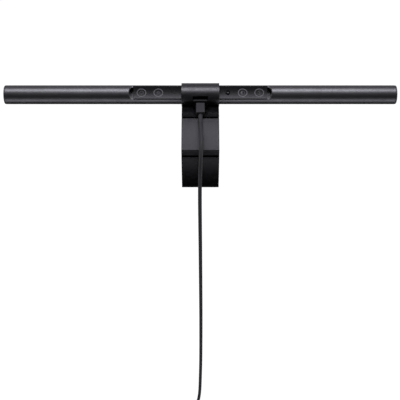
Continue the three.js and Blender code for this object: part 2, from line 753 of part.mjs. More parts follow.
const COIL_HALF_RADIAL = (COIL_LAYERS * CORD_DIAMETER) / 2 + 0.2;
const COIL_HALF_WIDTH = (COIL_ROWS * CORD_DIAMETER) / 2 + 0.2;

function coilSolid() {
  const section = roundedRectangle(COIL_MEAN_RADIUS, 0, 2 * COIL_HALF_RADIAL, 2 * COIL_HALF_WIDTH, 2.2, 3);
  return new THREE.LatheGeometry([...section, section[0].clone()], 40);
}

piece('cord_coil', coilSolid(), 'cordJacket', coil);

function tie() {
  const inner = [2 * COIL_HALF_RADIAL + 0.6, 2 * COIL_HALF_WIDTH + 0.6];
  const band = (extra) => {
    const across = roundedRectangle(0, 0, inner[0] + extra, inner[1] + extra, 1.5);
    return across.map((p) => point(p.y, p.x));
  };
  const extruded = (points, depth) => {
    const geometry = new THREE.ExtrudeGeometry(new THREE.Shape(points), { depth, bevelEnabled: false });
    geometry.translate(0, 0, -depth / 2);
    return geometry;
  };
  const loop = carve([extruded(band(1.6), 6)], [extruded(band(0), 8)]);
  loop.rotateZ(Math.PI / 2);
  return loop;
}

const cableTie = piece('cable_tie', tie(), 'rubber', coil);
cableTie.position.set(-COIL_MEAN_RADIUS, 0, 0);

// The end of the lead comes out of the coil's inner layer, lies on its side and hangs from there.
const TAIL_X = COIL_MEAN_RADIUS + CORD_DIAMETER / 2;
const TAIL_Y = -(COIL_HALF_WIDTH + CORD_DIAMETER / 2 + GAP);
const TAIL_TOP = 4;
const TAIL_BOTTOM = -17;
const USB_RELIEF = 16;
const USB_BODY = 30;
const USB_SHELL = 12;

piece('cord_tail', rodZ(CORD_DIAMETER / 2, TAIL_X, TAIL_Y, TAIL_BOTTOM, TAIL_TOP, 10), 'cordJacket', coil);

const usb = new THREE.Group();
usb.position.set(TAIL_X, TAIL_Y, TAIL_BOTTOM - GAP);
coil.add(usb);

const reliefUsb = new THREE.CylinderGeometry(2.5, 3.3, USB_RELIEF, 16);
reliefUsb.rotateX(Math.PI / 2);
reliefUsb.translate(0, 0, -USB_RELIEF / 2);
piece('strain_relief_usb', reliefUsb, 'cordJacket', usb);

// A straight bar down the Z axis with a rounded rectangular section.
function uprightBar(width, depth, radius, z0, z1) {
  const section = new THREE.Shape(roundedRectangle(0, 0, width, depth, radius));
  const geometry = new THREE.ExtrudeGeometry(section, { depth: z1 - z0, bevelEnabled: false });
  geometry.translate(0, 0, z0);
  return geometry;
}

const usbBodyTop = -USB_RELIEF - GAP;
const usbShellTop = usbBodyTop - USB_BODY - GAP;
piece('plug_usb', uprightBar(15.6, 8, 2, usbBodyTop - USB_BODY, usbBodyTop), 'cordJacket', usb);
piece(
  'plug_usb_shell',
  carve(
    [uprightBar(12, 4.5, 0.5, usbShellTop - USB_SHELL, usbShellTop)],
    [box(-5.6, 5.6, 0.1, 1.85, usbShellTop - USB_SHELL - 1, usbShellTop - 1)],
  ),
  'steel',
  usb,
);

lightBar.updateMatrixWorld(true);

export default lightBar;
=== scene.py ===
"""The looks of a clip-on monitor light bar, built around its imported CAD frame.

Pieces are drawn in millimetres around the lamp's own axis (X along the bar, Y towards the back of the
screen, Z up) and then placed in the frame, which is in metres.
"""

import math

import bmesh
import bpy
from mathutils import Matrix, Vector

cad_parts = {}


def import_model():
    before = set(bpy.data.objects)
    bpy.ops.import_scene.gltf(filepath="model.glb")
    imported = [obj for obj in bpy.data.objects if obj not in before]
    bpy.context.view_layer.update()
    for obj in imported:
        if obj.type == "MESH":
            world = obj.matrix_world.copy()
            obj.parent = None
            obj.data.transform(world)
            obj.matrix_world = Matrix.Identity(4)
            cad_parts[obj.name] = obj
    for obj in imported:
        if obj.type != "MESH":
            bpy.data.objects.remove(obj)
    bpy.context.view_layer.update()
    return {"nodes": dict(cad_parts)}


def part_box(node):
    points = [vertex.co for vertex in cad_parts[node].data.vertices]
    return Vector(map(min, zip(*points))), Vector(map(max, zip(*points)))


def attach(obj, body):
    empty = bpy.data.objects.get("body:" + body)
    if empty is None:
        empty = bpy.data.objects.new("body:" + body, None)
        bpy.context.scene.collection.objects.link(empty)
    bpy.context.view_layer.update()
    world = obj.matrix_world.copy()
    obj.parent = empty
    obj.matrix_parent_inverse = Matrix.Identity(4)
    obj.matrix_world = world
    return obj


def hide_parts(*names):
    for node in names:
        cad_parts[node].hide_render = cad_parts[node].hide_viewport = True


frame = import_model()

MM = 0.001

# ------------------------------------------------------------------ sizes (millimetres)

CAP_LOW, CAP_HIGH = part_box("end_cap_right")
LAMP_AXIS = Vector((0, (CAP_LOW[1] + CAP_HIGH[1]) / 2, (CAP_LOW[2] + CAP_HIGH[2]) / 2))
PANEL_TURN = math.radians(-30)
BAR_HALF = CAP_HIGH[0] / MM
TUBE_RADIUS = 10.8
TUBE_BORE = 9.6
CAP_THICKNESS = 1.6
WINDOW_HALF = 6.0
FLAT_HEIGHT = 7.7
PANEL_HALF_LENGTH = 76.6
PANEL_HALF_WIDTH = 7.2
PANEL_DISH = 0.5
POCKET_HALF_WIDTH = 8.1
POCKET_FLOOR = 6.0
RAMP_END = 82.0
KEY_PLACES = (67.4, 48.1, -48.4, -67.4)
RING_HALF_LENGTH, RING_HALF_WIDTH = 5.05, 4.45
RING_LINE, SYMBOL_LINE = 0.8, 0.3
SENSOR_X = -31.5

RING_RADIUS = 13.3
RING_BORE = 11.9
CLIP_HALF = 21.6
ARM_TOP = -6.0
ARM_BOTTOM = -15.2
ARM_END = 30.3
LIP_BOTTOM = -28.0
HINGE_Y, HINGE_Z = 31.0, -11.0
KNUCKLE_RADIUS = 3.2

COVER_FRONT, COVER_REAR = (32.5, -6.0), (73.0, -17.7)
COVER_WALL = 1.6
SKIRT_BOTTOM = -27.0
BODY_BOTTOM = -79.0
TOE_Y = 15.3
WEIGHT_HALF = 21.3

PLUG_Z = -1.4
PLUG_HEIGHT = 7.2
CORD_EXIT_Z = -2.6
PORT_FRONT = 11.2
PORT_MOUTH = 15.5
PLUG_BACK = 31.4
CORD_DIAMETER = 4.4
COIL_CENTRE = (0.0, 104.4, -570.0)
COIL_RADIUS = 24.0
COIL_TURNS = 6
COIL_START = 40.0  # degrees up from +X, where the lead meets the coil
COIL_STEP = 7.5  # degrees between two points of the coil
COIL_ROWS = (-1, 0, 1, 1, 0, -1, -1)  # each turn's place across the coil, in lead diameters
CROSSING = 75.0  # degrees over which the tail comes over the coil's side
TAIL_Y = -9.3
TAIL_BOTTOM = -17.0

# The stretch of lead from the plug's strain relief down to the coil.
CORD_ROUTE = [
    (0, 45.3, CORD_EXIT_Z), (-0.3, 50, -2.6), (-0.8, 58, -2.65), (-1.1, 66, -2.9), (-1.1, 74, -4),
    (-0.8, 82, -7.6), (-0.4, 90, -15), (0, 95.8, -25.4), (0.3, 98.8, -37.6), (0.5, 99.8, -52.5),
    (0.5, 100, -75), (0.3, 100, -110), (0, 100, -150), (-0.3, 100, -200), (-0.6, 100, -255),
    (-0.8, 100, -310), (-0.8, 100, -365), (-0.6, 100, -415), (0, 100, -460), (0.8, 100, -495),
    (2.6, 100, -518), (5.4, 100, -532), (8.8, 100, -539.8),
]

# ------------------------------------------------------------------ camera

CAMERA_PLACE = (0.0004, 0.7927, 0.7441)
CAMERA_PITCH = math.radians(48.4)
SENSOR_WIDTH = 36.0
FOCAL_LENGTH = 84.375


def make_camera():
    data = bpy.data.cameras.new("camera")
    data.sensor_width = SENSOR_WIDTH
    data.lens = FOCAL_LENGTH
    data.clip_start = 0.01
    data.clip_end = 50
    camera = bpy.data.objects.new("camera", data)
    camera.location = CAMERA_PLACE
    camera.rotation_euler = (math.pi / 2 - CAMERA_PITCH, 0, math.pi)
    bpy.context.scene.collection.objects.link(camera)
    bpy.context.scene.camera = camera


# ------------------------------------------------------------------ drawing helpers

LAMP_FRAME = Matrix.Translation(LAMP_AXIS) @ Matrix.Rotation(PANEL_TURN, 4, "X") @ Matrix.Scale(MM, 4)
CLIP_FRAME = Matrix.Translation(LAMP_AXIS) @ Matrix.Scale(MM, 4)


def world(x, y, z):
    """A drawn point, in millimetres, as a place in the frame."""
    return CLIP_FRAME @ Vector((x, y, z))


def arc(a, b, radius, start, end, steps):
    """Points on an arc around (a, b), from one angle to another in degrees."""
    points = []
    for i in range(steps + 1):
        angle = math.radians(start + (end - start) * i / steps)
        points.append((a + radius * math.cos(angle), b + radius * math.sin(angle)))
    return points


def circle(a, b, radius, steps):
    return arc(a, b, radius, 0, 360, steps)[:-1]


def outline(corners, steps=6):
    """A closed outline from (a, b) or (a, b, radius) corners; a corner with a radius is rounded."""
    points = []
    for i, corner in enumerate(corners):
        here = Vector(corner[:2])
        if len(corner) == 2:
            points.append(tuple(here))
            continue
        before, after = Vector(corners[i - 1][:2]), Vector(corners[(i + 1) % len(corners)][:2])
        start = here + (before - here).normalized() * corner[2]
        end = here + (after - here).normalized() * corner[2]
        for step in range(steps + 1):
            t = step / steps
            points.append(tuple(start * (1 - t) ** 2 + here * 2 * t * (1 - t) + end * t * t))
    return points


def rectangle(a, b, width, height, radius, steps=6):
    left, right = a - width / 2, a + width / 2
    low, high = b - height / 2, b + height / 2
    corners = [(left, low), (right, low), (right, high), (left, high)]
    return outline([(*corner, radius) for corner in corners], steps)


def make_object(name, bm):
    bmesh.ops.remove_doubles(bm, verts=bm.verts, dist=1e-5)
    bmesh.ops.recalc_face_normals(bm, faces=bm.faces)
    mesh = bpy.data.meshes.new(name)
    bm.to_mesh(mesh)
    bm.free()
    obj = bpy.data.objects.new(name, mesh)
    bpy.context.scene.collection.objects.link(obj)
    return obj


ALONG = {
    "X": lambda a, b, t: (t, a, b),
    "Y": lambda a, b, t: (a, t, b),
    "Z": lambda a, b, t: (a, b, t),
}


def loft(name, sections):
    """A closed body through sections, each a list of points with the same count."""
    bm = bmesh.new()
    loops = [[bm.verts.new(p) for p in section] for section in sections]
    bm.faces.new(loops[0])
    bm.faces.new(loops[-1])
    count = len(loops[0])
    for near, far in zip(loops, loops[1:]):
        for i in range(count):
            j = (i + 1) % count
            bm.faces.new((near[i], near[j], far[j], far[i]))
    return make_object(name, bm)


def prism(points, start, end, along="X", name="prism"):
    """An outline drawn across an axis and extruded along it."""
    place = ALONG[along]
    return loft(name, [[place(a, b, t) for a, b in points] for t in (start, end)])


def rod(radius, start, end, a, b, along="X", steps=64):
    return prism(circle(a, b, radius, steps), start, end, along)


def block(x, y, z):
    """A box between pairs of limits."""
    return prism([(y[0], z[0]), (y[1], z[0]), (y[1], z[1]), (y[0], z[1])], x[0], x[1])


def turned(profile, a, b, along="X", steps=64, name="turned"):
    """A body of revolution from (place, radius) pairs, around the axis through (a, b)."""
    place = ALONG[along]
    sections = [
        [place(p, q, t) for p, q in circle(a, b, radius, steps)]
        for t, radius in profile
    ]
    return loft(name, sections)


def evaluated(obj):
    depsgraph = bpy.context.evaluated_depsgraph_get()
    return bpy.data.meshes.new_from_object(obj.evaluated_get(depsgraph))


def apply_modifiers(obj):
    mesh = evaluated(obj)
    obj.modifiers.clear()
    old = obj.data
    obj.data = mesh
    bpy.data.meshes.remove(old)


def combine(obj, others, operation):
    for other in others:
        modifier = obj.modifiers.new("combine", "BOOLEAN")
        modifier.operation = operation
        modifier.solver = "EXACT"
        modifier.object = other
        apply_modifiers(obj)
        bpy.data.objects.remove(other)
    return obj


def cut(obj, *others):
    return combine(obj, others, "DIFFERENCE")


def join(obj, *others):
    return combine(obj, others, "UNION")


def copied(obj):
    twin = obj.copy()
    twin.data = obj.data.copy()
    bpy.context.scene.collection.objects.link(twin)
    return twin


def soften(obj, width, segments=3, angle=32):
    """Rounds every edge sharper than the angle."""
    modifier = obj.modifiers.new("soften", "BEVEL")
    modifier.width = width
    modifier.segments = segments
    modifier.limit_method = "ANGLE"
    modifier.angle_limit = math.radians(angle)
    modifier.miter_outer = "MITER_ARC"
    modifier.use_clamp_overlap = True
    apply_modifiers(obj)
    return obj


def shade(obj, angle=38):
    """Smooth shading, broken at edges sharper than the angle."""
    bm = bmesh.new()
    bm.from_mesh(obj.data)
    bmesh.ops.remove_doubles(bm, verts=bm.verts, dist=1e-6)
    bmesh.ops.dissolve_degenerate(bm, edges=bm.edges, dist=1e-6)
    for face in bm.faces:
        face.smooth = True
    for edge in bm.edges:
        if len(edge.link_faces) == 2:
            edge.smooth = edge.calc_face_angle(0) < math.radians(angle)
    bm.to_mesh(obj.data)
    bm.free()
    modifier = obj.modifiers.new("weighted normals", "WEIGHTED_NORMAL")
    modifier.keep_sharp = True
    modifier.weight = 80


def finish_piece(obj, name, body, material, replaces=(), matrix=CLIP_FRAME):
    """Places a drawn piece in the frame, shades it, hands it its body and material, and hides the CAD
    nodes it replaces.
    """
    shade(obj)
    obj.name = name
    obj.data.name = name
    obj.data.transform(matrix)
    obj.data.materials.clear()
    obj.data.materials.append(material)
    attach(obj, body)
    if replaces:
        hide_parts(*replaces)
    return obj


# ------------------------------------------------------------------ materials


class Nodes:
    """A short way to build one procedural material."""

    def __init__(self, name, color, roughness, **sockets):
        self.material = bpy.data.materials.new(name)
        self.material.use_nodes = True
        self.tree = self.material.node_tree
        self.shader = self.tree.nodes["Principled BSDF"]
        self.color = color
        self.roughness = roughness
        self.shader.inputs["Base Color"].default_value = (*color, 1)
        self.shader.inputs["Roughness"].default_value = roughness
        for socket, value in sockets.items():
            self.shader.inputs[socket.replace("_", " ")].default_value = value
        self.place = self.tree.nodes.new("ShaderNodeTexCoord").outputs["Object"]
        self.normal = None

    def node(self, kind, inputs=(), **settings):
        made = self.tree.nodes.new(kind)
        for key, value in settings.items():
            setattr(made, key, value)
        for key, value in dict(inputs).items():
            if isinstance(value, bpy.types.NodeSocket):
                self.tree.links.new(value, made.inputs[key])
            else:
                made.inputs[key].default_value = value
        return made

    def stretched(self, scale):
        return self.node("ShaderNodeMapping", {"Vector": self.place, "Scale": scale}).outputs[0]

    def noise(self, scale, detail=3.0, roughness=0.5, vector=None):
        source = self.place if vector is None else vector
        inputs = {"Vector": source, "Scale": scale, "Detail": detail, "Roughness": roughness}
        return self.node("ShaderNodeTexNoise", inputs).outputs[0]

    def spread(self, source, low, high, start=0.3, end=0.7):
        """Maps a noise value to a range of numbers."""
        inputs = {"Value": source, "From Min": start, "From Max": end, "To Min": low, "To Max": high}
        return self.node("ShaderNodeMapRange", inputs).outputs[0]

    def vary_roughness(self, source, amount):
        value = self.spread(source, self.roughness - amount, self.roughness + amount)
        self.tree.links.new(value, self.shader.inputs["Roughness"])

    def vary_color(self, source, darker, lighter):
        low = [c * darker for c in self.color]
        high = [c * lighter for c in self.color]
        mix = self.node("ShaderNodeMix", data_type="RGBA")
        factor = self.spread(source, 0.0, 1.0)
        self.tree.links.new(factor, mix.inputs[0])
        mix.inputs[6].default_value = (*low, 1)
        mix.inputs[7].default_value = (*high, 1)
        self.tree.links.new(mix.outputs[2], self.shader.inputs["Base Color"])

    def bump(self, source, strength, distance):
        inputs = {"Height": source, "Strength": strength, "Distance": distance}
        if self.normal is not None:
            inputs["Normal"] = self.normal
        made = self.node("ShaderNodeBump", inputs)
        self.normal = made.outputs[0]
        self.tree.links.new(self.normal, self.shader.inputs["Normal"])


def anodised_black():
    made = Nodes("anodised_black", (0.076, 0.076, 0.077), 0.42, Metallic=0.9)
    blast = made.noise(5200, 2.0)
    made.vary_roughness(made.noise(900, 3.0), 0.05)
    made.vary_color(made.noise(60, 4.0), 0.92, 1.08)
    drawn = made.noise(1.0, 2.0, 0.6, made.stretched((6, 4200, 4200)))
    made.bump(drawn, 0.03, 0.00002)
    made.bump(blast, 0.07, 0.00004)
    return made.material


def moulded(name, color, roughness, grain=3000, depth=0.25, **sockets):
    """Moulded plastic: a fine spark-eroded grain with faint wear in its gloss."""
    made = Nodes(name, color, roughness, **sockets)
    made.vary_roughness(made.noise(260, 4.0), 0.06)
    made.vary_color(made.noise(90, 3.0), 0.9, 1.1)
    made.bump(made.noise(grain, 3.0, 0.6), depth, 0.00005)
    return made.material


def textured_cover():
    """The counterweight's cover: a coarser pitted grain that looks mottled from afar."""
    made = Nodes("textured_cover", (0.006, 0.006, 0.0065), 0.42, Specular_IOR_Level=0.2)
    cloudy = made.noise(420, 5.0, 0.65)
    made.vary_color(cloudy, 0.72, 1.3)
    made.vary_roughness(made.noise(1500, 3.0), 0.08)
    made.bump(made.noise(900, 4.0, 0.7), 0.5, 0.00025)
    return made.material


def panel_black():
    made = Nodes("panel_black", (0.0025, 0.0025, 0.0028), 0.3, Specular_IOR_Level=0.16)
    made.vary_roughness(made.noise(700, 4.0), 0.04)
    made.bump(made.noise(4200, 2.0), 0.1, 0.00002)
    return made.material


def printed_grey():
    made = Nodes("printed_grey", (0.085, 0.085, 0.088), 0.5, Specular_IOR_Level=0.2)
    made.vary_color(made.noise(2400, 2.0), 0.85, 1.15)
    made.bump(made.noise(3000, 2.0), 0.15, 0.00002)
    return made.material


def smoked_lens():
    made = Nodes("smoked_lens", (0.006, 0.006, 0.008), 0.35, Specular_IOR_Level=0.25)
    made.vary_roughness(made.noise(1200, 2.0), 0.03)
    return made.material


def frosted():
    """The diffusers' opal plastic, with the LEDs off."""
    made = Nodes(
        "frosted_diffuser", (0.78, 0.78, 0.75), 0.5, Subsurface_Weight=0.25, Subsurface_Scale=0.002)
    made.vary_roughness(made.noise(800, 3.0), 0.05)
    made.vary_color(made.noise(25, 3.0), 0.97, 1.03)
    made.bump(made.noise(3600, 2.0), 0.2, 0.00003)
    return made.material


def silicone():
    """Pads with a fine rib pressed into them."""
    made = Nodes("silicone_pad", (0.085, 0.086, 0.09), 0.78)
    ribs = made.node("ShaderNodeTexWave", {"Vector": made.place, "Scale": 160.0, "Distortion": 0.0})
    made.bump(ribs.outputs[1], 0.5, 0.00025)
    made.bump(made.noise(2600, 3.0), 0.3, 0.00004)
    made.vary_color(made.noise(120, 3.0), 0.88, 1.12)
    return made.material


def plated_steel():
    made = Nodes("plated_steel", (0.6, 0.6, 0.62), 0.26, Metallic=1.0)
    brushed = made.noise(1.0, 3.0, 0.6, made.stretched((5200, 300, 5200)))
    made.vary_roughness(brushed, 0.08)
    made.bump(brushed, 0.12, 0.00003)
    return made.material


def bright_wire():
    made = Nodes("bright_wire", (0.42, 0.42, 0.44), 0.3, Metallic=1.0)
    made.vary_roughness(made.noise(3000, 3.0), 0.1)
    return made.material


def sawn_steel():
    made = Nodes("sawn_steel", (0.3, 0.3, 0.31), 0.5, Metallic=1.0)
    sawn = made.noise(1.0, 3.0, 0.7, made.stretched((150, 3800, 150)))
    made.vary_roughness(sawn, 0.12)
    made.bump(sawn, 0.4, 0.00008)
    return made.material


def circuit_board():
    """Green solder mask with faint copper runs under it."""
    made = Nodes("circuit_board", (0.012, 0.1, 0.045), 0.35)
    runs = made.node("ShaderNodeTexBrick", {"Vector": made.place, "Scale": 420.0})
    runs.inputs["Mortar Size"].default_value = 0.06
    runs.inputs["Color1"].default_value = (0.01, 0.085, 0.04, 1)
    runs.inputs["Color2"].default_value = (0.014, 0.11, 0.05, 1)
    runs.inputs["Mortar"].default_value = (0.05, 0.2, 0.09, 1)
    made.tree.links.new(runs.outputs[0], made.shader.inputs["Base Color"])
    made.bump(runs.outputs[1], 0.2, 0.00004)
    return made.material


def cord_jacket():
    made = Nodes("cord_jacket", (0.017, 0.017, 0.018), 0.6, Specular_IOR_Level=0.2)
    made.vary_roughness(made.noise(500, 3.0), 0.06)
    made.vary_color(made.noise(80, 3.0), 0.9, 1.12)
    made.bump(made.noise(2200, 3.0), 0.22, 0.00005)
    return made.material


def woven_strap():
    """A hook-and-loop strap: crossed ribs under a fuzzy grain."""
    made = Nodes("woven_strap", (0.02, 0.02, 0.021), 0.85, Sheen_Weight=0.3)
    across = made.node("ShaderNodeTexWave", {"Vector": made.place, "Scale": 420.0}, bands_direction="Y")
    down = made.node("ShaderNodeTexWave", {"Vector": made.place, "Scale": 420.0}, bands_direction="Z")
    made.bump(across.outputs[1], 0.6, 0.0003)
    made.bump(down.outputs[1], 0.6, 0.0003)
    made.bump(made.noise(2600, 4.0, 0.7), 0.6, 0.0002)
    made.vary_color(made.noise(900, 3.0), 0.7, 1.4)
    return made.material


FLOOR_GLOW = 0.95


def pale_floor():
    made = Nodes("pale_floor", (0.12, 0.12, 0.12), 0.9)
    made.vary_color(made.noise(1.5, 2.0), 0.995, 1.0)
    made.shader.inputs["Emission Color"].default_value = (1, 1, 1, 1)
    made.shader.inputs["Emission Strength"].default_value = FLOOR_GLOW
    return made.material


# ------------------------------------------------------------------ cord


def smooth_route(points, spacing):
    """Points a few millimetres apart on a smooth curve through the given ones."""
    knots = [Vector(p) for p in points]
    knots = [knots[0] * 2 - knots[1], *knots, knots[-1] * 2 - knots[-2]]
    made = []
    for a, b, c, d in zip(knots, knots[1:], knots[2:], knots[3:]):
        steps = max(1, round((c - b).length / spacing))
        for i in range(steps):
            t = i / steps
            made.append(
                0.5 * (2 * b + (c - a) * t + (2 * a - 5 * b + 4 * c - d) * t ** 2
                       + (3 * b - a - 3 * c + d) * t ** 3)
            )
    made.append(knots[-2])
    return made


def ease(t):
    t = min(1.0, max(0.0, t))
    return t * t * (3 - 2 * t)


def coil_points():
    """Six turns, wound clockwise: three side by side outside, then three back again inside them, and
    a tail that comes over the side of the coil and hangs from it."""
    centre = Vector(COIL_CENTRE)
    outer, inner = COIL_RADIUS + CORD_DIAMETER / 2, COIL_RADIUS - CORD_DIAMETER / 2
    last = 360.0 * COIL_TURNS + COIL_START
    clearance = abs(TAIL_Y) - CORD_DIAMETER
    points = []
    travelled = 0.0
    while travelled <= last + 1e-6:
        turn = travelled / 360
        row = min(int(turn), COIL_TURNS - 1)
        hop = ease((turn - row - 0.8) / 0.2)
        y = CORD_DIAMETER * (COIL_ROWS[row] + (COIL_ROWS[row + 1] - COIL_ROWS[row]) * hop)
        radius = outer if row < 2 else inner
        if row == 2:
            radius = outer + (inner - outer) * hop
        crossing = (travelled - (last - CROSSING)) / CROSSING
        if crossing > 0:
            swing = math.pi / 2 * ease(crossing)
            depth = outer - inner + (clearance - CORD_DIAMETER) * crossing
            radius = outer - depth * math.cos(swing)
            y = -CORD_DIAMETER - clearance * math.sin(swing)
        angle = math.radians(COIL_START - travelled)
        points.append(centre + Vector((radius * math.cos(angle), y, radius * math.sin(angle))))
        travelled += COIL_STEP
    return points


def cord_points():
    tail = Vector(COIL_CENTRE) + Vector((COIL_RADIUS + CORD_DIAMETER / 2, TAIL_Y, 0))
    turns = coil_points()
    lead_in = smooth_route([*CORD_ROUTE, tuple(turns[0])], 3.0)[:-1]
    tail_points = [tail + Vector((0, 0, z)) for z in (-4, -8, -12, TAIL_BOTTOM)]
    return [*lead_in, *turns, *tail_points]


def make_cord(material):
    points = [world(*p) for p in cord_points()]
    data = bpy.data.curves.new("power_lead", "CURVE")
    data.dimensions = "3D"
    data.bevel_depth = CORD_DIAMETER / 2 * MM
    data.bevel_resolution = 5
    data.use_fill_caps = True
    spline = data.splines.new("POLY")
    spline.points.add(len(points) - 1)
    for place, p in zip(spline.points, points):
        place.co = (*p, 1)
    spline.use_smooth = True
    lead = bpy.data.objects.new("power_lead", data)
    bpy.context.scene.collection.objects.link(lead)
    data.materials.append(material)
    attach(lead, "clip")
    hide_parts("cord_run", "cord_coil", "cord_tail")
    return lead


def lead_pieces(rubber, steel, strap):
    """The plug and sleeve at the clip, and the sleeve, plug and tie at the far end."""
    body = prism(rectangle(0, PLUG_Z, 10, PLUG_HEIGHT, 1.3), PORT_MOUTH + 0.3, PLUG_BACK, "Y")
    soften(body, 0.3, 3)
    plug = finish_piece(body, "clip_plug", "clip", rubber, ["plug_device"])
    sleeve = turned([
        (PLUG_BACK + 0.1, 2.2), (PLUG_BACK + 0.4, 2.45), (PLUG_BACK + 1.0, 2.55), (43.6, 2.35),
        (44.6, 2.3), (45.0, 2.22),
    ], 0, CORD_EXIT_Z, "Y", 40)
    sleeve = finish_piece(sleeve, "clip_sleeve", "clip", rubber, ["strain_relief_device"])

    x, y = COIL_CENTRE[0] + COIL_RADIUS + CORD_DIAMETER / 2, COIL_CENTRE[1] + TAIL_Y
    top = COIL_CENTRE[2] + TAIL_BOTTOM - 0.3
    profile = [(top, 2.35), (top - 0.6, 2.6)]
    for i in range(5):
        z = top - 1.6 - 2.5 * i
        radius = 2.6 + 0.12 * i
        profile += [
            (z, radius), (z - 0.5, radius - 0.35), (z - 1.1, radius - 0.35), (z - 1.6, radius + 0.05),
        ]
    profile.append((top - 16, 3.3))
    usb_sleeve = turned(profile, x, y, "Z", 40)
    usb_sleeve = finish_piece(
        usb_sleeve, "usb_sleeve", "clip", rubber, ["strain_relief_usb"])

    low, high = top - 46.3, top - 16.3
    grip = prism(rectangle(x, y, 15.6, 8, 2), low, high, "Z")
    for i in range(4):
        z = low + 10 + 3.2 * i
        for side in (-1, 1):
            face = y + side * 4
            groove = block((x - 4.6, x + 4.6), sorted((face - side * 0.5, face + side)), (z, z + 1.3))
            cut(grip, groove)
    soften(grip, 0.4, 3)
    grip = finish_piece(grip, "usb_plug", "clip", rubber, ["plug_usb"])

    shell_top = low - 0.3
    shell = prism(rectangle(x, y, 12, 4.5, 0.5), shell_top - 12, shell_top, "Z")
    cut(shell, block((x - 5.6, x + 5.6), (y - 1.85, y + 1.85), (shell_top - 13, shell_top - 1)))
    for side in (-1, 1):
        for window in (-1, 1):
            middle = x + 2.9 * window
            face = y + side * 2.25
            hole = block((middle - 1.1, middle + 1.1), sorted((face - side * 0.5, face + side)),
                         (shell_top - 6.4, shell_top - 4.0))
            cut(shell, hole)
    soften(shell, 0.08, 2)
    shell = finish_piece(shell, "usb_shell", "clip", steel, ["plug_usb_shell"])
    tongue = block((x - 5.4, x + 5.4), (y - 1.6, y + 0.1), (shell_top - 11.4, shell_top - 0.9))
    soften(tongue, 0.1, 2)
    tongue = finish_piece(tongue, "usb_tongue", "clip", rubber)
    return [plug, sleeve, usb_sleeve, grip, shell, tongue, make_tie(strap)]


def make_tie(material):
    """A strap round the coil on the side away from the lead, its free end lapped over itself."""
    centre = Vector(COIL_CENTRE)
    across = 2 * CORD_DIAMETER + 0.8
    deep = 3 * CORD_DIAMETER + 0.8
    inner = rectangle(-COIL_RADIUS, 0, across, deep, 2.0, 8)
    outer = rectangle(-COIL_RADIUS, 0, across + 1.2, deep + 1.2, 2.5, 8)
    strap = prism(outer, -3.2, 3.2, "Z")
    cut(strap, prism(inner, -4, 4, "Z"))
    lap = prism(outline([
        (-COIL_RADIUS - across / 2 - 1.3, -5), (-COIL_RADIUS - across / 2 - 0.5, -5),
        (-COIL_RADIUS - across / 2 - 0.5, 5), (-COIL_RADIUS - across / 2 - 1.3, 5.4),
    ]), -2.7, 2.7, "Z")
    join(strap, lap)
    soften(strap, 0.18, 2)
    strap.data.transform(Matrix.Translation(centre))
    return finish_piece(strap, "coil_tie", "clip", material, ["cable_tie"])


# ------------------------------------------------------------------ lamp


def half_height(radius, side):
    return math.sqrt(radius * radius - side * side)


def window_angle(radius, side):
    return math.degrees(math.acos(side / radius))


def milling_tool():
    """The pocket for the panel, with a dished ramp that sweeps up to the round surface at each end."""
    start = PANEL_HALF_LENGTH + 0.5
    top = TUBE_RADIUS + 1.5
    lift = TUBE_RADIUS - FLAT_HEIGHT + 0.7
    right = []
    for i in range(11):
        t = i / 10 * 1.16
        right.append((start + (RAMP_END - start) * t, FLAT_HEIGHT - 0.7 + lift * t ** 2.2))
    right.append((right[-1][0] + 1, top))
    left = [(-x, z) for x, z in reversed(right)]
    profile = [(start, POCKET_FLOOR), *right, *left, (-start, POCKET_FLOOR)]
    return prism(profile, -TUBE_RADIUS - 1, TUBE_RADIUS + 1, "Y")


def lamp_tube(material):
    outer = window_angle(TUBE_RADIUS, WINDOW_HALF)
    inner = window_angle(TUBE_BORE, WINDOW_HALF)
    section = [
        *arc(0, 0, TUBE_RADIUS, -outer, 180 + outer, 120),
        *arc(0, 0, TUBE_BORE, 180 + inner, -inner, 72),
    ]
    end = BAR_HALF - CAP_THICKNESS - 0.15
    tube = prism(section, -end, end)
    web = block((-end, end), (-TUBE_BORE - 0.4, TUBE_BORE + 0.4), (-1.8, -0.6))
    join(tube, web)
    tool = milling_tool()
    # outside the pocket's width the round surface stays
    keep = [
        block((-PANEL_HALF_LENGTH - 0.4, PANEL_HALF_LENGTH + 0.4), limits, (0, TUBE_RADIUS + 2))
        for limits in ((POCKET_HALF_WIDTH, TUBE_RADIUS + 2), (-TUBE_RADIUS - 2, -POCKET_HALF_WIDTH))
    ]
    cut(tool, *keep)
    cut(tube, tool)
    soften(tube, 0.16, 2, 30)
    return finish_piece(tube, "tube", "lamp", material, ["lamp_tube"], LAMP_FRAME)


def end_caps(material):
    for side, node in ((1, "end_cap_right"), (-1, "end_cap_left")):
        face = BAR_HALF * side
        inward = -side
        profile = [
            (face + inward * 6.6, 9.05), (face + inward * 1.62, 9.05), (face + inward * 1.6, 10.35),
            (face + inward * 1.35, 10.58), (face + inward * 0.55, 10.58), (face + inward * 0.22, 10.4),
            (face + inward * 0.04, 10.0), (face, 9.5), (face, 4.0), (face, 0.5),
        ]
        cap = turned(profile, 0, 0, "X", 128)
        name = node.replace("end_cap", "bar_end")
        finish_piece(cap, name, "lamp", material, [node], LAMP_FRAME)


def panel_height(side):
    """The dished top of the control panel above the lamp axis."""
    return FLAT_HEIGHT - PANEL_DISH * (1 - (side / PANEL_HALF_WIDTH) ** 2)


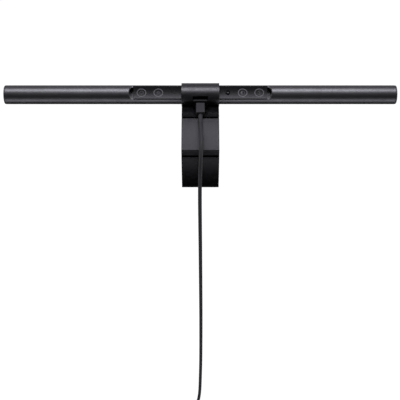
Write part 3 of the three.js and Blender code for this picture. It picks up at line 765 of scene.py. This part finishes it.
def control_panel(material):
    steps = 28
    top = []
    for i in range(steps + 1):
        side = PANEL_HALF_WIDTH * (1 - 2 * i / steps)
        top.append((side, panel_height(side)))
    section = [*top, (-PANEL_HALF_WIDTH, 6.15), (PANEL_HALF_WIDTH, 6.15)]
    panel = prism(section, -PANEL_HALF_LENGTH, PANEL_HALF_LENGTH)
    dish = turned([(5.4, 1.9), (6.45, 1.9), (7.9, 3.55)], SENSOR_X, 0, "Z", 48)
    cut(panel, dish)
    soften(panel, 0.22, 2, 30)
    finish_piece(panel, "key_panel", "lamp", material, ["control_panel"], LAMP_FRAME)


def on_panel(points, width, lift=0.05, closed=True):
    """A raised line of a given width along points (x, y) on the dished panel, as one flat ribbon."""
    bm = bmesh.new()
    count = len(points)
    inner, outer = [], []
    for i in range(count):
        here = Vector(points[i])
        before = Vector(points[i - 1] if closed or i > 0 else points[i])
        after = Vector(points[(i + 1) % count] if closed or i < count - 1 else points[i])
        across = (after - before).normalized()
        across = Vector((-across.y, across.x)) * width / 2
        for side, row in ((1, outer), (-1, inner)):
            spot = here + across * side
            height = panel_height(spot.y)
            low = bm.verts.new((spot.x, spot.y, height - 0.25))
            shoulder = bm.verts.new((spot.x, spot.y, height + lift * 0.4))
            crest_spot = here + across * side * 0.7
            crest = bm.verts.new((crest_spot.x, crest_spot.y, panel_height(crest_spot.y) + lift))
            row.append((low, shoulder, crest))
    last = count if closed else count - 1
    for i in range(last):
        j = (i + 1) % count
        for row in (outer, inner):
            for k in range(2):
                bm.faces.new((row[i][k], row[j][k], row[j][k + 1], row[i][k + 1]))
        bm.faces.new((outer[i][2], outer[j][2], inner[j][2], inner[i][2]))
        bm.faces.new((outer[i][0], outer[j][0], inner[j][0], inner[i][0]))
    if not closed:
        for i in (0, count - 1):
            bm.faces.new((*outer[i], *reversed(inner[i])))
    return bm


def add_line(bm, points, width, closed=False):
    piece = on_panel(points, width, closed=closed)
    mesh = bpy.data.meshes.new("line")
    piece.to_mesh(mesh)
    piece.free()
    bm.from_mesh(mesh)
    bpy.data.meshes.remove(mesh)


def key_symbols(number, x):
    """Plain marks inside a key's ring: power, sun, half-filled disc, moon. Each is a list of lines."""
    fine = 24
    if number == 0:
        gap = [(x + p, q) for p, q in arc(0, 0, 2.0, 130, 410, fine)]
        return [(gap, False), ([(x, 0.7), (x, 2.5)], False)]
    if number == 1:
        lines = [([(x + p, q) for p, q in circle(0, 0, 1.15, fine)], True)]
        for k in range(8):
            ray = Vector((math.cos(k * math.pi / 4), math.sin(k * math.pi / 4)))
            lines.append(([(x + ray.x * 1.75, ray.y * 1.75), (x + ray.x * 2.5, ray.y * 2.5)], False))
        return lines
    if number == 2:
        lines = [([(x + p, q) for p, q in circle(0, 0, 2.1, fine)], True)]
        for k in range(1, 5):
            side = k * 0.42
            reach = half_height(2.1, side)
            lines.append(([(x + side, -reach), (x + side, reach)], False))
        return lines
    crescent = [(x + p, q) for p, q in arc(0, 0, 2.1, 60, 300, fine)]
    back = [(x + p, q) for p, q in arc(1.5, 0, 1.85, 255, 105, fine)]
    return [([*crescent, *back], True)]


def key_rings(material):
    for number, x in enumerate(KEY_PLACES):
        ring = [(x + p * RING_HALF_LENGTH, q * RING_HALF_WIDTH) for p, q in circle(0, 0, 1, 72)]
        bm = bmesh.new()
        add_line(bm, ring, RING_LINE, True)
        for line, closed in key_symbols(number, x):
            add_line(bm, line, SYMBOL_LINE, closed)
        obj = make_object("key_mark", bm)
        name, node = f"key_mark_{number + 1}", f"key_ring_{number + 1}"
        finish_piece(obj, name, "lamp", material, [node], LAMP_FRAME)


def light_sensor(material):
    steps = 10
    profile = [(5.6, 1.75), (6.35, 1.75)]
    for i in range(1, steps + 1):
        angle = i / steps * math.pi / 2 * 0.97
        profile.append((6.35 + 0.85 * math.sin(angle), 1.75 * math.cos(angle)))
    lens = turned(profile, SENSOR_X, 0, "Z", 40)
    finish_piece(lens, "sensor_lens", "lamp", material, ["light_sensor_lens"], LAMP_FRAME)


def diffusers(material):
    """The two frosted covers of the light window, each with feet that hook inside the tube."""
    skin, half, shoulder = TUBE_RADIUS - 0.12, WINDOW_HALF - 0.2, TUBE_BORE - 0.25
    back, foot = 8.6, 6.7
    spread, inside = window_angle(skin, half), window_angle(back, 5.2)
    near, far = -half_height(shoulder, half), -half_height(shoulder, foot)
    section = [
        *arc(0, 0, skin, 180 + spread, 360 - spread, 24),
        (half, near), (foot, far), (foot, -5.9), (6.2, -5.9),
        *arc(0, 0, back, 360 - inside, 180 + inside, 20),
        (-6.2, -5.9), (-foot, -5.9), (-foot, far), (-half, near),
    ]
    for side in ("left", "right"):
        name, node = f"light_window_{side}", f"diffuser_{side}"
        low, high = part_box(node)
        lens = prism(section, low[0] / MM, high[0] / MM)
        soften(lens, 0.12, 2)
        finish_piece(lens, name, "lamp", material, [node], LAMP_FRAME)


# ------------------------------------------------------------------ clip


def clip_frame(band, smooth):
    ring = prism(circle(0, 0, RING_RADIUS, 160), -CLIP_HALF, CLIP_HALF)
    arm = prism(outline([
        (-9, -7), (-8, -11, 2), (-1.6, -14.6, 2), (-1.3, LIP_BOTTOM, 1.2), (2.4, LIP_BOTTOM, 1.2),
        (2.4, ARM_BOTTOM, 0.8), (25.5, ARM_BOTTOM, 1.5), (25.5, ARM_TOP - 1.2),
        (ARM_END, ARM_TOP - 1.2), (ARM_END, ARM_TOP), (11, ARM_TOP), (0, 0),
    ]), -CLIP_HALF + 0.3, CLIP_HALF - 0.3)
    knuckle = rod(KNUCKLE_RADIUS, -6, 6, HINGE_Y, HINGE_Z)
    root = block((-6, 6), (24, HINGE_Y), (HINGE_Z - KNUCKLE_RADIUS, ARM_TOP - 0.5))
    bore = rod(RING_BORE, -CLIP_HALF - 5, CLIP_HALF + 5, 0, 0, steps=128)
    pin_bore = rod(2.4, -7, 7, HINGE_Y, HINGE_Z, steps=32)
    half = 8.6
    window = prism(rectangle(0, 0.8, 2 * half, 13.6, 1.0), 8, 20, "Y")
    recess = prism(outline([
        (-half, 12), (half, 12), (half, 19.3, 0.8), (-half, 19.3, 0.8),
    ]), ARM_TOP - 1.2, ARM_TOP + 2, "Z")
    tools = (window, recess)
    outside = prism(circle(0, 0, RING_RADIUS - 0.35, 160), -CLIP_HALF - 1, CLIP_HALF + 1)
    join(arm, knuckle, root)
    cut(arm, copied(outside), pin_bore, *[copied(tool) for tool in tools])
    cut(ring, bore, *tools)
    bpy.data.objects.remove(outside)
    soften(ring, 0.35, 3, 30)
    soften(arm, 0.3, 3, 30)
    finish_piece(ring, "clip_ring", "clip", band, ["clip_frame"])
    finish_piece(arm, "clip_arm", "clip", smooth, ["clip_frame"])


def port_block(material, steel):
    outer = prism(rectangle(0, -1.0, 16, 11, 0.8), PORT_MOUTH - 2.2, PORT_MOUTH, "Y")
    inner = prism(rectangle(0, -2.0, 14.6, 9, 0.8), PORT_FRONT, PORT_MOUTH - 1, "Y")
    hollow = block((-6.2, 6.2), (PORT_FRONT + 1, PORT_MOUTH - 1), (-8, 1.6))
    mouth = prism(rectangle(0, PLUG_Z, 10.2, 4.4, 1.9), PORT_MOUTH - 2, PORT_MOUTH + 1, "Y")
    join(outer, inner)
    cut(outer, hollow, mouth)
    soften(outer, 0.3, 3)
    finish_piece(outer, "port_housing", "clip", material, ["port_block"])
    shell = prism(rectangle(0, PLUG_Z, 9.6, 3.8, 1.7), PORT_FRONT + 1.2, PORT_MOUTH - 0.1, "Y")
    cut(shell, prism(rectangle(0, PLUG_Z, 8.9, 3.1, 1.4), PORT_FRONT + 1.5, PORT_MOUTH + 1, "Y"))
    finish_piece(shell, "port_shell", "clip", steel, ["usb_port_shell"])


def pads(material):
    seat = prism(rectangle(15, -16.25, 18, 1.5, 0.4), -17, 17)
    soften(seat, 0.25, 2)
    finish_piece(seat, "seat_pad_skin", "clip", material, ["seat_pad"])
    lip = prism(rectangle(3.35, -22, 1.3, 9.4, 0.35), -17, 17)
    soften(lip, 0.25, 2)
    finish_piece(lip, "lip_pad_skin", "clip", material, ["lip_pad"])
    toe = prism(rectangle(TOE_Y - 0.8, -66, 1, 16, 0.3), -15, 15)
    soften(toe, 0.25, 2)
    finish_piece(toe, "toe_pad_skin", "counterweight", material, ["toe_pad"])


# ------------------------------------------------------------------ counterweight


def cover_line(y):
    (y0, z0), (y1, z1) = COVER_FRONT, COVER_REAR
    return z0 + (y - y0) * (z1 - z0) / (y1 - y0)


def bowed_top(start, end):
    """The top of the cover, nearly level beside the arm and steeper towards its back edge."""
    level, steep, power = 0.1675, 0.37, 1.5
    (y0, z0), (y1, _) = COVER_FRONT, COVER_REAR
    points = []
    for i in range(21):
        y = start + (end - start) * i / 20
        t = (y - y0) / (y1 - y0)
        drop = steep * t - (steep - level) * (1 - (1 - t) ** (power + 1)) / (power + 1)
        points.append((y, z0 - drop * (y1 - y0)))
    return points


def weight_cover(material):
    """A bowed top over a skirt that leans in. The outline has no corner on the hollow's edge, and its
    front is rounded by less than the wall, so that the cut leaves a front face that doesn't cross itself.
    """
    (y0, z0), (y1, z1) = COVER_FRONT, COVER_REAR
    top = prism(outline([
        (y0, z0, 0.8), *bowed_top(y0 + 0.8, y1 - 1.2), (y1, z1, 1.2),
        (y1 - 1.3, SKIRT_BOTTOM), (y0, z0 - 6),
    ]), -WEIGHT_HALF, WEIGHT_HALF)
    inner = prism([
        (y0 - 2, cover_line(y0 - 2) - COVER_WALL), (71.2, cover_line(71.2) - COVER_WALL),
        (70.2, SKIRT_BOTTOM - 1), (y0 - 2, SKIRT_BOTTOM - 1),
    ], -WEIGHT_HALF + 1.5, WEIGHT_HALF - 1.5)
    cut(top, inner)
    soften(top, 0.35, 3, 30)
    finish_piece(top, "weight_cover", "counterweight", material, ["counterweight_cover"])


def rear_face(high, low):
    """The slightly bowed back of the counterweight, from top to bottom."""
    points = []
    for i in range(17):
        t = i / 16
        points.append((74.05 - 1.4 * t + 0.8 * 4 * t * (1 - t), high + (low - high) * t))
    return points


def weight_shell(material):
    ledge = SKIRT_BOTTOM - 0.5
    lower = prism(outline([
        (71.2, ledge), (73.0, ledge), (74.1, ledge - 0.46), *rear_face(ledge - 1.3, BODY_BOTTOM + 2.6),
        (72.6, BODY_BOTTOM, 0.8),
        (20.6, BODY_BOTTOM + 2, 2.5), (TOE_Y, -74.5, 2), (TOE_Y, -57, 2), (24, -50, 6), (33, -38, 8),
        (36, -24, 5), (32.9, -15, 1), (32.9, cover_line(33) - 6.6),
    ]), -WEIGHT_HALF, WEIGHT_HALF)
    under = COVER_WALL + 0.3
    upper = prism([
        (33.4, cover_line(33.4) - under), (71.0, cover_line(71.0) - under),
        (69.9, ledge - 2), (33.4, -20),
    ], -WEIGHT_HALF + 1.8, WEIGHT_HALF - 1.8)
    join(lower, upper)
    for side in (-1, 1):
        ends = sorted((13 * side, (WEIGHT_HALF - 1.9) * side))
        knuckle = rod(KNUCKLE_RADIUS, ends[0], ends[1], HINGE_Y, HINGE_Z)
        root = prism([
            (HINGE_Y, HINGE_Z - KNUCKLE_RADIUS + 0.1), (35, -16), (35, cover_line(35) - under),
            (HINGE_Y, HINGE_Z + 2),
        ], ends[0], ends[1])
        join(lower, knuckle, root)
    hinge_room = rod(3.6, -12.7, 12.7, HINGE_Y, HINGE_Z)
    pin_hole = rod(1.75, -22, 22, HINGE_Y, HINGE_Z, steps=32)
    cavity = prism(outline([
        (36.2, -2), (69, -2), (70.6, -76, 3), (21, -75, 3), (TOE_Y + 2, -73, 1), (TOE_Y + 2, -58, 1),
        (25.4, -51.6, 6), (35, -39, 8), (38.2, -24, 5), (36.2, -15, 2),
    ]), -17.2, 17.2)
    cut(lower, hinge_room, pin_hole, cavity)
    for side in (-1, 1):
        cut(lower, rod(3.1, BODY_BOTTOM - 1, BODY_BOTTOM + 2, 11 * side, 54, "Z", 48),
            rod(1.8, BODY_BOTTOM - 1, -70, 11 * side, 54, "Z", 32))
    soften(lower, 0.45, 3, 30)
    finish_piece(lower, "weight_shell", "counterweight", material,
                 ["counterweight_body"])


# ------------------------------------------------------------------ CAD pieces that keep their shape


def dress(node, material):
    """Gives a CAD node that keeps its own shape a finished material."""
    obj = frame["nodes"][node]
    obj.data.materials.clear()
    obj.data.materials.append(material)


# ------------------------------------------------------------------ floor and light


FLOOR_REACH, FLOOR_HEIGHT = 12.0, -0.70


def make_floor(material):
    bm = bmesh.new()
    corners = [(-1, -1), (1, -1), (1, 1), (-1, 1)]
    bm.faces.new([bm.verts.new((x * FLOOR_REACH, y * FLOOR_REACH, FLOOR_HEIGHT)) for x, y in corners])
    floor = make_object("floor", bm)
    floor.data.materials.append(material)
    # the studio around the object, and not the floor, is what the dark surfaces mirror
    floor.visible_glossy = False
    floor.visible_diffuse = False


COOL_WHITE = (0.97, 0.96, 1.07)
BACKDROP = (0.86, 0.86, 0.87)

OVERHEAD_PLACE = (0, -0.133, 0.91)
OVERHEAD_TARGET = (0, -0.015, 0.017)
OVERHEAD_SIZE = (1.1, 0.4)
OVERHEAD_RADIANCE = 9.2


def softbox(name, place, target, size, radiance):
    data = bpy.data.lights.new(name, "AREA")
    data.shape = "RECTANGLE"
    data.size, data.size_y = size
    data.color = COOL_WHITE
    data.energy = radiance * math.pi * size[0] * size[1]
    light = bpy.data.objects.new(name, data)
    light.location = place
    light.rotation_euler = (Vector(target) - Vector(place)).to_track_quat("-Z", "Y").to_euler()
    light.visible_camera = False
    bpy.context.scene.collection.objects.link(light)


# What surrounds the object, as (degrees up from straight behind it, brightness): dark straight
# behind, a bright sheet below and behind, and a soft glow towards the overhead light.
SURROUNDINGS = [
    (-180, 0.6), (-160, 0.5), (-120, 0.05), (-62, 0.02), (-50, 0.15), (-42, 2.6), (-26, 3.0),
    (-18, 0.4), (-8, 0.02), (14, 0.01), (44, 0.02), (60, 0.08), (74, 0.2), (100, 0.3), (126, 0.1),
    (150, 0.4),
]

# The glow beyond the ends of the bar, added as a direction leans from 0 (across it) to 1 (along it).
SIDE_GLOW = {"From Min": 0.55, "From Max": 0.9, "To Min": 0.0, "To Max": 1.0}


def make_world():
    """Brightness by angle around the bar, which only reflections and shading see."""
    studio = bpy.data.worlds.new("studio")
    studio.use_nodes = True
    bpy.context.scene.world = studio
    tree = studio.node_tree
    nodes, link = tree.nodes, tree.links.new
    direction = nodes.new("ShaderNodeSeparateXYZ")
    link(nodes.new("ShaderNodeTexCoord").outputs["Generated"], direction.inputs[0])
    angle = nodes.new("ShaderNodeMath")
    angle.operation = "ARCTAN2"
    link(direction.outputs["Z"], angle.inputs[0])
    link(direction.outputs["Y"], angle.inputs[1])
    turn = nodes.new("ShaderNodeMapRange")
    turn.inputs["From Min"].default_value = -math.pi
    turn.inputs["From Max"].default_value = math.pi
    link(angle.outputs[0], turn.inputs["Value"])
    ramp = nodes.new("ShaderNodeValToRGB")
    link(turn.outputs[0], ramp.inputs[0])
    stops = ramp.color_ramp.elements
    while len(stops) < len(SURROUNDINGS):
        stops.new(0.5)
    for stop, (degrees, level) in zip(stops, SURROUNDINGS):
        stop.position = 0.5 + degrees / 360
        stop.color = (*(level * share for share in COOL_WHITE), 1)
    # both ends of the bar face a soft glow
    sideways = nodes.new("ShaderNodeMath")
    sideways.operation = "ABSOLUTE"
    link(direction.outputs["X"], sideways.inputs[0])
    glow = nodes.new("ShaderNodeMapRange")
    glow.interpolation_type = "SMOOTHSTEP"
    for socket, value in SIDE_GLOW.items():
        glow.inputs[socket].default_value = value
    link(sideways.outputs[0], glow.inputs["Value"])
    both = nodes.new("ShaderNodeMix")
    both.data_type = "RGBA"
    both.blend_type = "ADD"
    both.inputs[0].default_value = 1.0
    link(ramp.outputs[0], both.inputs[6])
    link(glow.outputs[0], both.inputs[7])
    # the background that the camera sees is plain and pale
    seen = nodes.new("ShaderNodeMix")
    seen.data_type = "RGBA"
    link(nodes.new("ShaderNodeLightPath").outputs["Is Camera Ray"], seen.inputs[0])
    link(both.outputs[2], seen.inputs[6])
    seen.inputs[7].default_value = (*BACKDROP, 1)
    link(seen.outputs[2], nodes["Background"].inputs["Color"])


def make_lights():
    softbox("overhead", OVERHEAD_PLACE, OVERHEAD_TARGET, OVERHEAD_SIZE, OVERHEAD_RADIANCE)
    make_world()


# ------------------------------------------------------------------ the whole object


def build():
    make_camera()
    jacket = cord_jacket()
    rubber = moulded("plug_overmould", (0.019, 0.019, 0.02), 0.6, 2600, 0.3, Specular_IOR_Level=0.2)
    steel, strap, board = plated_steel(), woven_strap(), circuit_board()
    others = lead_pieces(rubber, steel, strap)
    make_cord(jacket)

    lamp_tube(anodised_black())
    end_caps(moulded("end_cap_black", (0.016, 0.016, 0.018), 0.5))
    control_panel(panel_black())
    key_rings(printed_grey())
    light_sensor(smoked_lens())
    diffusers(frosted())

    clip_frame(
        moulded("clip_satin_black", (0.006, 0.006, 0.0065), 0.4, 3400, 0.15),
        moulded("clip_smooth_black", (0.002, 0.002, 0.0022), 0.22, 3400, 0.08, Specular_IOR_Level=0.24),
    )
    port_block(moulded("port_black", (0.006, 0.006, 0.0065), 0.5, Specular_IOR_Level=0.2), steel)
    pads(silicone())
    weight_cover(textured_cover())
    weight_shell(
        moulded("weight_black", (0.0012, 0.0012, 0.0015), 0.2, 3000, 0.1, Specular_IOR_Level=0.075))

    white = moulded("white_plastic", (0.75, 0.75, 0.73), 0.6)
    wire, sawn = bright_wire(), sawn_steel()
    for node in ("touch_board", "driver_board", "led_board_left", "led_board_right", "port_board"):
        dress(node, board)
    for node in ("reflector_left", "reflector_right", "friction_liner", "hinge_bush"):
        dress(node, white)
    for node in ("hinge_pin", "weight_screw_left", "weight_screw_right", "plug_tip"):
        dress(node, steel)
    for node in ("torsion_spring_left", "torsion_spring_right"):
        dress(node, wire)
    dress("weight_block", sawn)

    make_floor(pale_floor())
    make_lights()
    bpy.context.scene.view_settings.view_transform = "Standard"


build()
